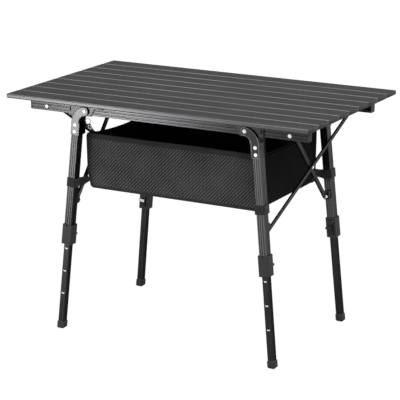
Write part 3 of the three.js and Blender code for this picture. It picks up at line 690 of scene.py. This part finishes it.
def bracket_rivets(sx, sy, tag):
    rivets = Solid()
    for z in (587, 568):
        x = sx * leg_axis_x(z)
        rivet_head(rivets, (x, sy * 215.95, z), (0, sy, 0), scale=0.94)
        rivet_head(rivets, (x, sy * 181.55, z), (0, -sy, 0), scale=0.94)
    rivets.done(f"hinge_bracket_rivets_{tag}", f"{tag}_leg", "bright_steel", STEEL)


def bracket_lip(sx, sy, tag):
    """Turned lip round the bracket's outer cheek."""
    path = neck_outline(LIP_INSET)
    rings = []
    for i, (x, z) in enumerate(path):
        (ax, az), (bx, bz) = path[i - 1], path[(i + 1) % len(path)]
        length = math.hypot(bx - ax, bz - az)
        nx, nz = (bz - az) / length, (ax - bx) / length
        rings.append([(sx * (x + nx * a), sy * y, z + nz * a) for a, y in LIP_SECTION])
    lip = Solid().sweep(rings, closed=True, flip=sx * sy < 0)
    lip.done(f"hinge_bracket_lip_{tag}", f"{tag}_leg", "frame_metal", LIP, angle=60)


def brace_pin(sx, sy, tag):
    pin = Solid()
    rivet_head(pin, (sx * 293.5, sy * 176.45, 368), (0, -sy, 0), scale=0.85)
    pin.done(f"brace_pin_{tag}", f"{SIDES[sx]}_braces", "bright_steel", STEEL)


def height_buttons(sx, sy, tag):
    """Half-moons in the lower half of each height hole."""
    ex, ey, ez = leg_basis(sx, sy)
    turns = [math.pi * i / 12 for i in range(13)]
    outline = [(4.7 * math.cos(a), 0.9 - 3.9 * math.sin(a)) for a in turns]
    buttons = Solid()
    for z in (235, 170, 105):
        centre = leg_point(sx, sy, 0, sy * 9.15, z)
        rings = [[centre + ex * (a * scale) + ez * (b * scale) + ey * (sy * out)
                  for a, b in outline] for out, scale in BUTTON_STATIONS]
        buttons.sweep(rings, flip=sy > 0)
    buttons.done(f"height_detents_{tag}", f"{tag}_lower_leg", "bright_steel", BUTTON)


def lever_pin(sx, sy, tag):
    """Ends of the lever's hinge pin, on the collar lugs."""
    pin = Solid()
    for end in (-1, 1):
        centre = leg_point(sx, sy, end * 10.35, -sy * 17.9, 295.5)
        pin.lathe(centre, leg_basis(sx, sy)[0] * end, PIN_PROFILE, 16)
    pin.done(f"lever_pin_{tag}", f"{tag}_leg", "bright_steel", WIRE)


def lever_clip(sx, sy, tag):
    """Clip folded round one edge of the lever, with a tongue past the collar's side."""
    clip = Solid()
    for low, high, section in CLIP_PARTS:
        clip.sweep([[leg_point(sx, sy, -sy * a, -sy * b, z) for a, b in section]
                    for z in (low, high)])
    # painted light: the same clip is bright steel on the left legs and black on the right, as if
    # lit on one side and shaded on the other
    look = ("bright_steel", BUTTON) if sx < 0 else ("black_plastic", LEVER)
    clip.done(f"lever_clip_{tag}", f"{tag}_lever", *look, angle=30)


def strap_z(sx, sy):
    return 428.5 if sx > 0 and sy > 0 else 424.5


def leg_strap(sx, sy, tag):
    """Strap round the leg."""
    extra = 3.6 if sx < 0 else 6.4
    outer = rounded_rect(LEG_WIDTH + extra, LEG_DEPTH + extra, 3.4)
    inner = rounded_rect(LEG_WIDTH + 0.5, LEG_DEPTH + 0.5, 1.9)
    stations = [(outer, *station) for station in STRAP_STATIONS]
    stations += [(inner, STRAP_HALF, 1.0), (inner, -STRAP_HALF, 1.0)]
    rings = [[leg_point(sx, sy, a * scale, b * scale, strap_z(sx, sy) + rise)
              for a, b in outline] for outline, rise, scale in stations]
    strap = Solid().sweep(rings, closed=True)
    strap.done(f"leg_strap_{tag}", f"{tag}_leg", "basket_fabric", WEBBING)


for sx, sy in CORNERS:
    for fitting in (bracket_rivets, bracket_lip, brace_pin, height_buttons, lever_pin,
                    lever_clip, leg_strap):
        fitting(sx, sy, f"{SIDES[sx]}_{DEPTHS[sy]}")


# ------------------------------------------------------------------ shape of the basket
def half_length(z, sx):
    """The left end tucks in towards the floor, the right end hangs almost straight."""
    tuck_z = 466
    drop = min(1.0, max(0.0, (tuck_z - z) / (tuck_z - BASE_Z))) ** 1.5
    return RIM_X - (RIM_X - BASE_X) * drop * (1.0 if sx < 0 else 0.12)


def half_depth(z):
    return BASE_Y + (RIM_Y - BASE_Y) * (z - BASE_Z) / (RIM_Z - BASE_Z)


FLAT_X = {sx: half_length(CORNER_Z, sx) - CORNER_R for sx in (-1, 1)}  # |x| of the floor's ends


def end_top(y):
    """Height of the end rims."""
    return RIM_Z - SAG * (1 - min(1.0, abs(y) / RIM_Y) ** 2.1)


def panel_half_width(z, sx):
    rise = z - BASE_Z
    if rise >= CORNER_R:
        return half_length(z, sx)
    inset = math.sqrt(max(0.0, CORNER_R**2 - (CORNER_R - rise) ** 2))
    return half_length(z, sx) - CORNER_R + inset


def ripple(x, z, seed):
    broad = math.sin(x * 0.021 + seed) * math.sin((z - BASE_Z) * 0.020 + 0.7 * seed)
    return 0.9 * broad + 0.5 * math.sin(x * 0.047 + z * 0.031 + 2 * seed)


def rib_height(x, z):
    across = -math.sin(RIB_ANGLE) * x + math.cos(RIB_ANGLE) * z
    along = math.cos(RIB_ANGLE) * x + math.sin(RIB_ANGLE) * z
    rib = math.sin(2 * math.pi * across / RIB_PITCH)
    return 0.42 * rib + 0.10 * math.sin(2 * math.pi * along / 2.9) * max(0, rib)


def lower_corner(sx, steps):
    """(x, z) round the lower corner, from the end towards the floor."""
    turns = [math.pi / 2 * i / steps for i in range(steps)]
    return [(sx * (FLAT_X[sx] + CORNER_R * math.cos(a)), CORNER_Z - CORNER_R * math.sin(a))
            for a in turns]


def floor_xs(steps):
    return [-FLAT_X[-1] + (FLAT_X[-1] + FLAT_X[1]) * i / steps for i in range(steps + 1)]


# ------------------------------------------------------------------ basket cloth
def add_lining(cloth):
    modifier = cloth.modifiers.new("thickness", "SOLIDIFY")
    modifier.thickness = 0.0013
    modifier.offset = -1
    modifier.material_offset = 1


def twill_panel(sy):
    """Front or back panel of ribbed twill, with rounded lower corners."""
    columns, rows, corner_rows = 332, 96, 12
    corner_top = BASE_Z + CORNER_R * 0.97 + 0.05
    verts, faces = [], []
    for j in range(rows + 1):
        if j < corner_rows:
            turn = math.pi / 2 * j / corner_rows
            z = BASE_Z + CORNER_R * (1 - math.cos(turn)) * 0.97 + 0.05
        else:
            part = (j - corner_rows) / (rows - corner_rows)
            z = corner_top + (RIM_Z - 3 - BASE_Z - CORNER_R * 0.97) * part
        left, right = panel_half_width(z, -1), panel_half_width(z, 1)
        rise = (z - BASE_Z) / (RIM_Z - BASE_Z)
        for i in range(columns + 1):
            u = -1 + 2 * i / columns
            x = -left + (left + right) * i / columns
            # relief fades out towards the panel's edges
            fade = (min(1.0, (1 - abs(u)) * 14) * min(1.0, (z - BASE_Z) / 14)
                    * min(1.0, (RIM_Z - z) / 14))
            bulge = (1 - u * u) * (1.08 * math.sin(math.pi * rise) - 1.6 * rise**3)
            y = (half_depth(z) + rib_height(x, z) * min(1, fade * 1.5)
                 + ripple(x, z, 1.3 * sy + 2) * fade + bulge)
            verts.append((x, sy * y, z))
    n = columns + 1
    for j in range(rows):
        for i in range(columns):
            quad = (j * n + i, j * n + i + 1, (j + 1) * n + i + 1, (j + 1) * n + i)
            faces.append(quad if sy < 0 else quad[::-1])
    panel = make(f"basket_{DEPTHS[sy]}_panel", verts, faces, "basket", "basket_fabric",
                 TWILL, LINING, angle=80)
    add_lining(panel)
    return panel


def band_end(sx, v):
    """One end of the band at v (-1 front, 1 back), from the rim down to the floor."""
    top = end_top(v * RIM_Y) - 2.5
    row = []
    for i in range(44):
        z = top + (CORNER_Z - top) * i / 44
        rise = (z - BASE_Z) / (top - BASE_Z)
        pull = (1 - v * v) * (3.0 * math.sin(math.pi * rise) - BOW * rise**3)
        wave = 2.4 * math.sin(v * 7 + z * 0.03) * (1 - rise) * rise
        row.append((sx * (half_length(z, sx) + pull + wave), v * half_depth(z), z))
    return row + [(x, v * half_depth(z), z) for x, z in lower_corner(sx, 8)]


def ends_and_floor():
    """One band makes the left end, the floor and the right end."""
    strips, floor_steps = 110, 70
    verts, faces = [], []
    for j in range(strips + 1):
        v = -1 + 2 * j / strips
        row = band_end(-1, v)
        for i, x in enumerate(floor_xs(floor_steps)):
            e = 2 * i / floor_steps - 1
            wrinkle = 0.7 * math.sin(x * 0.03) * math.sin(v * 5) * (1 - e**8)
            dip = (1 - v * v) * (4.0 * (1 - e * e) + wrinkle)
            row.append((x, v * BASE_Y, BASE_Z - dip))
        row += band_end(1, v)[::-1]
        n = len(row)
        verts += row
    for j in range(strips):
        for i in range(n - 1):
            faces.append((j * n + i, (j + 1) * n + i, (j + 1) * n + i + 1, j * n + i + 1))
    add_lining(make("basket_ends_and_floor", verts, faces, "basket", "basket_fabric",
                    END_CLOTH, LINING, angle=80))


def binding(sy):
    """Bound seam where the front or back panel meets the band."""
    def side_path(sx):
        heights = [RIM_Z - 6 + (CORNER_Z - RIM_Z + 6) * i / 40 for i in range(40)]
        return [(sx * half_length(z, sx), z) for z in heights] + lower_corner(sx, 9)

    path = side_path(-1) + [(x, BASE_Z) for x in floor_xs(60)] + side_path(1)[::-1]
    rings = []
    for i, (x, z) in enumerate(path):
        (ax, az), (bx, bz) = path[max(0, i - 1)], path[min(len(path) - 1, i + 1)]
        length = math.hypot(bx - ax, bz - az)
        nx, nz = (az - bz) / length, (bx - ax) / length
        if nx * -x + nz * (480 - z) < 0:  # make it point into the panel
            nx, nz = -nx, -nz
        crest = 1.7 + 0.075 * math.sin(i * 0.9)
        # (into the panel, outwards in Y)
        section = [(-1.3, -3.0), (-1.5, 0.2), (-0.9, 1.3), (0.4, crest), (5.6, 1.5),
                   (6.6, 1.0), (6.9, 0.2), (6.0, -0.2), (1.4, -0.4), (0.7, -3.2)]
        rings.append([(x + nx * a, sy * (half_depth(z) + b), z + nz * a) for a, b in section])
    Solid().sweep(rings, flip=sy < 0).done(f"basket_{DEPTHS[sy]}_binding", "basket",
                                           "basket_fabric", TAPE, angle=60)


# ------------------------------------------------------------------ top hem
HEM_R = 7.0  # rounding of the rim's corners
# (outwards, up from the rim)
HEM_SECTION = [(-1.9, -13.5), (-2.1, -3.0), (-1.7, -0.9), (-0.6, 0.0), (0.7, 0.0), (1.5, -0.9),
               (1.9, -3.0), (1.7, -12.8), (1.3, -14.0), (0.3, -14.2)]


def rim_frames():
    """(point, outward direction) round the rim, anticlockwise from above."""
    loop = subdivide(rounded_rect(2 * RIM_X, 2 * RIM_Y, HEM_R, 6), 6, int)
    frames = []
    for i, (x, y) in enumerate(loop):
        (ax, ay), (bx, by) = loop[i - 1], loop[(i + 1) % len(loop)]
        length = math.hypot(bx - ax, by - ay)
        out = Vector(((by - ay) / length, (ax - bx) / length, 0))
        if abs(x) > RIM_X - HEM_R - 0.5:
            z = end_top(y)
        else:
            z = RIM_Z + 0.8 * math.sin(x * 0.018 + (y > 0)) * (1 - (x / RIM_X) ** 2)
        if abs(y) > RIM_Y - HEM_R - 0.5:
            inward = 1.6 * (1 - (x / RIM_X) ** 2)
        else:
            inward = BOW * (1 - (y / RIM_Y) ** 2)
        frames.append((Vector((x, y, z)) - out * inward, out))
    return frames


def top_hem(frames):
    """Folded tape round the whole rim, with painted shade on it at the ends."""
    rings = [[point + out * a + Vector((0, 0, b)) for a, b in HEM_SECTION]
             for point, out in frames]
    hem = Solid().sweep(rings, closed=True, flip=True)
    hem = hem.done("basket_top_hem", "basket", "basket_fabric", TAPE, END_HEM, angle=60)
    for face in hem.data.polygons:
        x, y = abs(face.center.x), abs(face.center.y)
        if x > (RIM_X - BOW - 6) * MM and y < (RIM_Y - 3) * MM:
            face.material_index = 1


# ------------------------------------------------------------------ stitches
STITCH_PITCH, STITCH_LENGTH = 4.8, 3.2
# (part of the length, part of the radius, lift off the cloth)
STITCH_STATIONS = [(-0.5, 0.45, -0.12), (-0.3, 1.0, 0.10), (0.3, 1.0, 0.10), (0.5, 0.45, -0.12)]


def stitch(solid, point, along, out, radius):
    along, out = Vector(along).normalized(), Vector(out).normalized()
    side = along.cross(out)
    rings = []
    for part, scale, lift in STITCH_STATIONS:
        centre = Vector(point) + along * (part * STITCH_LENGTH) + out * lift
        rings.append([centre + out * a + side * b for a, b in circle(radius * scale, 6)])
    solid.sweep(rings)


def hem_stitching(frames):
    stitches = Solid()
    for drop in (-2.6, -11.6):
        offset = 0.0
        for i, (point, out) in enumerate(frames):
            run = frames[(i + 1) % len(frames)][0] - point
            while offset < run.length:
                place = point + run * (offset / run.length) + out * 1.95
                stitch(stitches, place + Vector((0, 0, drop)), run, out, radius=0.36)
                offset += STITCH_PITCH
            offset -= run.length
    stitches.done("basket_hem_stitching", "basket", "basket_fabric", THREAD)


def seam_stitching():
    stitches = Solid()
    inset, lift = 4.6, 1.75
    for sy in (-1, 1):
        x = -FLAT_X[-1]
        while x <= FLAT_X[1]:
            stitch(stitches, (x, sy * (BASE_Y + lift), BASE_Z + inset), (1, 0, 0), (0, sy, 0),
                   radius=0.3)
            x += STITCH_PITCH
        for sx in (-1, 1):
            z = CORNER_Z
            while z < RIM_Z - 16:
                point = (sx * (half_length(z, sx) - inset), sy * (half_depth(z) + lift), z)
                stitch(stitches, point, (sx * 0.046, 0, 1), (0, sy, 0), radius=0.3)
                z += STITCH_PITCH
    stitches.done("basket_seam_stitching", "basket", "basket_fabric", THREAD)


front_panel = twill_panel(-1)
twill_panel(1)
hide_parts("basket")
ends_and_floor()
for sy in (-1, 1):
    binding(sy)
rim = rim_frames()
top_hem(rim)
hem_stitching(rim)
seam_stitching()

# ------------------------------------------------------------------ basket corners
PATCH_OUTLINE = [(0, 447.0), (0, 413), (5, 409.5), (20, 409.5), (22, 413)]  # (from corner, z)
RING_R = 7.4


def strap_tail(sx, sy, tag):
    """Webbing from the leg strap to the basket's lower corner, narrowing on the way."""
    steps = 12
    start = leg_point(sx, sy, -sx * 12.6, -sy * 9.0, strap_z(sx, sy))
    end = Vector((sx * 257.6, sy * 172.6, strap_z(sx, sy) + 8))
    points, outlines = [], []
    for i in range(steps + 1):
        t = i / steps
        sag = math.sin(math.pi * t)
        points.append(start.lerp(end, t) - Vector((0, sy * 0.8 * sag, 1.2 * sag)))
        outlines.append(rounded_rect(1.7, 25.0 - 8.0 * t**1.3, 0.8, 2))
    tail = Solid().sweep(path_rings(points, outlines, up=(0.06 * sx, 0, 1)))
    tail.done(f"strap_tail_{tag}", "basket", "basket_fabric", WEBBING)


def corner_patch(sx, sy, tag):
    """Patch that carries the strap's pull into the corner seam."""
    verts = [(sx * (half_length(z, sx) + out), sy * (half_depth(z) - inset), z)
             for out in (1.5, 0.1) for inset, z in PATCH_OUTLINE]
    n = len(PATCH_OUTLINE)
    faces = [tuple(range(n)), tuple(range(2 * n - 1, n - 1, -1))]
    faces += [(i, i + n, (i + 1) % n + n, (i + 1) % n) for i in range(n)]
    if sx * sy < 0:
        faces = [face[::-1] for face in faces]
    make(f"corner_patch_{tag}", verts, faces, "basket", "basket_fabric", TAPE)


def ring_and_hook(sx, sy, tag):
    """Steel ring by the hinge bracket, with its tab, and the hook and loop down to the hem."""
    centre = Vector((sx * 250.4, sy * 186.0, 593.4))
    normal = Vector((0.45, -0.87, 0.15)).normalized()
    e1 = normal.cross(Vector((0, 0, 1))).normalized()
    e2 = normal.cross(e1)
    points = [centre + e1 * a + e2 * b for a, b in circle(RING_R, 32)]
    ring = Solid().wire_loop(points, normal, 0.75)
    ring.done(f"basket_ring_{tag}", "basket", "bright_steel", WIRE)

    # tab from the ring outboard
    points = [centre + Vector((sx * x, sy * y, z)) for x, y, z in
              ((15.1, 1.0, -3.0), (11.1, 0, -2.0), (7.6, 0, -1.0), (6.2, -0.6, -0.4))]
    tab = Solid().sweep(path_rings(points, [rounded_rect(1.6, 11.0, 0.7, 2)] * len(points)))
    tab.done(f"ring_tab_{tag}", "basket", "bright_steel", LIP)

    # black webbing from the ring down to the hem
    top = centre + Vector((0, 0, -RING_R))
    foot = Vector((sx * 258.5, sy * 152.0, 553.0))
    run = foot - top
    down = run.normalized()
    side = down.cross(Vector((-sx * 0.40, sy * 0.9, 0.15))).normalized()
    points = [top + down * 1.5 + side * 0.2, top + down * 6, top + down * 14,
              top + down * (run.length * 0.62), foot - down * 3, foot + Vector((0, 0, -5))]
    outlines = [rounded_rect(2.4, 14.0, 1.0, 2)] * len(points)
    loop = Solid().sweep(path_rings(points, outlines, up=side))
    loop.done(f"basket_corner_tab_{tag}", "basket", "basket_fabric", WEBBING)

    # bright wire gate of the hook, on the webbing's outer face
    face = side.cross(down).normalized()
    if face.y * sy < 0:
        face = -face
    middle = top + down * 11.5 + face * 2.5 + Vector((-sx * 2.6, 0, 0))
    points = [middle + down * (10.0 * a) + side * (3.6 * b) for a, b in circle(1.0, 20)]
    hook = Solid().wire_loop(points, face, 1.0)
    hook.done(f"basket_hook_{tag}", "basket", "bright_steel", STEEL)


for sx, sy in CORNERS:
    for part in (strap_tail, corner_patch, ring_and_hook):
        part(sx, sy, f"{SIDES[sx]}_{DEPTHS[sy]}")

# ------------------------------------------------------------------ floor, light, camera
scene = bpy.context.scene


def studio_floor():
    """White floor that shows brighter to the camera than it lights the table."""
    half, z = 40, -0.0004
    mesh = bpy.data.meshes.new("studio_floor")
    corners = [(-half, -half, z), (half, -half, z), (half, half, z), (-half, half, z)]
    mesh.from_pydata(corners, [], [(0, 1, 2, 3)])
    floor = bpy.data.objects.new("studio_floor", mesh)
    scene.collection.objects.link(floor)
    shader = Shader("studio_floor_white")
    shader.paint(Base_Color=grey(0.34), Roughness=0.9, Specular_IOR_Level=0.0)
    camera_ray = shader.node("LightPath").outputs["Is Camera Ray"]
    glow = shader.node("Emission", Strength=1.12)
    blend = shader.node("MixShader")
    parts = (shader.times(camera_ray, 0.88), shader.surface.outputs[0], glow.outputs[0])
    for socket, value in zip(blend.inputs, parts):
        shader.feed(socket, value)
    shader.feed(shader.output.inputs[0], blend.outputs[0])
    mesh.materials.append(shader.material)


def studio_world():
    """White to the camera; for other rays, grey at the horizon and white overhead."""
    world = bpy.data.worlds.new("studio")
    scene.world = world
    nodes = NodeTree(world)
    height = nodes.axes(nodes.node("TexCoord").outputs["Generated"])["Z"]
    sky = nodes.node("ValToRGB")
    nodes.feed(sky.inputs[0], height)
    for stop, position, level in zip(sky.color_ramp.elements, (0.0, 0.9), (0.40, 1.1)):
        stop.position = position
        stop.color = (*grey(level), 1)
    camera_ray = nodes.node("LightPath").outputs["Is Camera Ray"]
    colour = nodes.mix(camera_ray, sky.outputs[0], grey(1))
    background = nodes.node("Background", Color=colour)
    nodes.node("OutputWorld", Surface=background.outputs[0])


def place(name, data, location, target):
    """Object that looks from location at target."""
    obj = bpy.data.objects.new(name, data)
    scene.collection.objects.link(obj)
    obj.location = location
    obj.rotation_mode = "QUATERNION"
    view = Vector(target) - Vector(location)
    obj.rotation_quaternion = view.to_track_quat("-Z", "Y")
    return obj


def area(name, location, target, size, power, size_y=None):
    light = bpy.data.lights.new(name, "AREA")
    light.energy = power
    light.size = size
    if size_y:
        light.shape = "RECTANGLE"
        light.size_y = size_y
    place(name, light, location, target)


studio_floor()
studio_world()
area("soft_top", (0.2, -0.6, 2.6), target=(0, 0, 0.5), size=2.2, power=44)
area("soft_front_left", (-1.08, -1.70, 0.36), target=(-0.18, -0.2, 0.60), size=0.36,
     power=12.5, size_y=0.8)
area("soft_right", (2.4, -1.6, 2.0), target=(0.25, -0.1, 0.4), size=1.2, power=32)
area("soft_back_right", (2.0, 2.6, 0.55), target=(0.3, 0.0, 0.42), size=1.0, power=8)

camera = bpy.data.cameras.new("camera")
camera.sensor_width = 36
camera.lens = 156.7773
camera.clip_start, camera.clip_end = 0.05, 100
scene.camera = place("camera", camera, (2.2392, -4.0592, 1.63256),
                     target=(-0.0068, 0.0, 0.36065))
scene.view_settings.view_transform = "Standard"
scene.view_settings.look = "None"

# each part of the hanging fabric gets a mesh of its own
SOFT_PARTS = (
    "basket_front_panel", "basket_back_panel", "basket_ends_and_floor", "basket_front_binding",
    "basket_back_binding", "basket_top_hem", "basket_hem_stitching", "basket_seam_stitching",
    "corner_patch", "basket_corner_tab", "basket_hook", "basket_ring", "ring_tab")
for obj in list(bpy.data.objects):
    if obj.name.startswith(SOFT_PARTS):
        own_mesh(obj)
